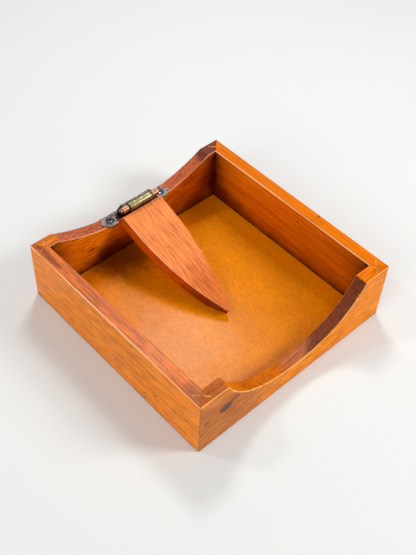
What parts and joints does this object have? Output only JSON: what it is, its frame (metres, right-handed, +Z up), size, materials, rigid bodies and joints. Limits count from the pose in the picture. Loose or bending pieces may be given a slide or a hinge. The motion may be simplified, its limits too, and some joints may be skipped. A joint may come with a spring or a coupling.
{
  "type": "napkin holder",
  "caption": "Square wooden napkin tray with scooped front and back rims and a leaf-shaped arm on a sprung brass hinge that presses the napkins down.",
  "frame": {"origin": "middle of the tray's underside, on the table", "axes": "+Z up, -Y towards the deep scoop in the front wall, +Y towards the hinged back wall, +X across"},
  "size_m": [0.1906, 0.1906, 0.055],
  "materials": {
    "wall_wood": "orange stained softwood, clear gloss lacquer",
    "floor_ply": "golden stained open-grained ply, clear gloss lacquer",
    "spline_wood": "pale end grain, lacquered",
    "arm_wood": "salmon stained straight-grained softwood, satin lacquer",
    "bronzed_steel": "dark antique bronze plating",
    "antique_brass": "aged brass plating, polished",
    "copper_plate": "aged copper-toned plating",
    "spring_steel": "bright drawn wire",
    "black_nylon": "moulded black",
    "screw_steel": "dark bronzed steel"
  },
  "bodies": {
    "tray": {"front_wall": "wall_wood", "back_wall": "wall_wood", "left_wall": "wall_wood", "right_wall": "wall_wood", "floor_panel": "floor_ply", "spline_front_left": "spline_wood", "spline_front_right": "spline_wood", "spline_back_left": "spline_wood", "spline_back_right": "spline_wood", "hinge_fixed_leaf": "bronzed_steel", "hinge_pin": "copper_plate", "closing_spring": "spring_steel", "rim_screw_left": "screw_steel", "rim_screw_right": "screw_steel"},
    "arm": {"napkin_arm": "arm_wood", "hinge_moving_leaf": "antique_brass", "bush_left": "black_nylon", "bush_right": "black_nylon", "arm_screw_left": "screw_steel", "arm_screw_right": "screw_steel"}
  },
  "joints": [
    {"name": "arm_hinge", "type": "hinge", "parent": "tray", "child": "arm", "pos_m": [0, 0.08171, 0.0513], "axis": [-1, 0, 0], "range_deg": [0, 110], "stiffness_Nm_per_rad": 0.05, "springref_deg": -40.11}
  ]
}
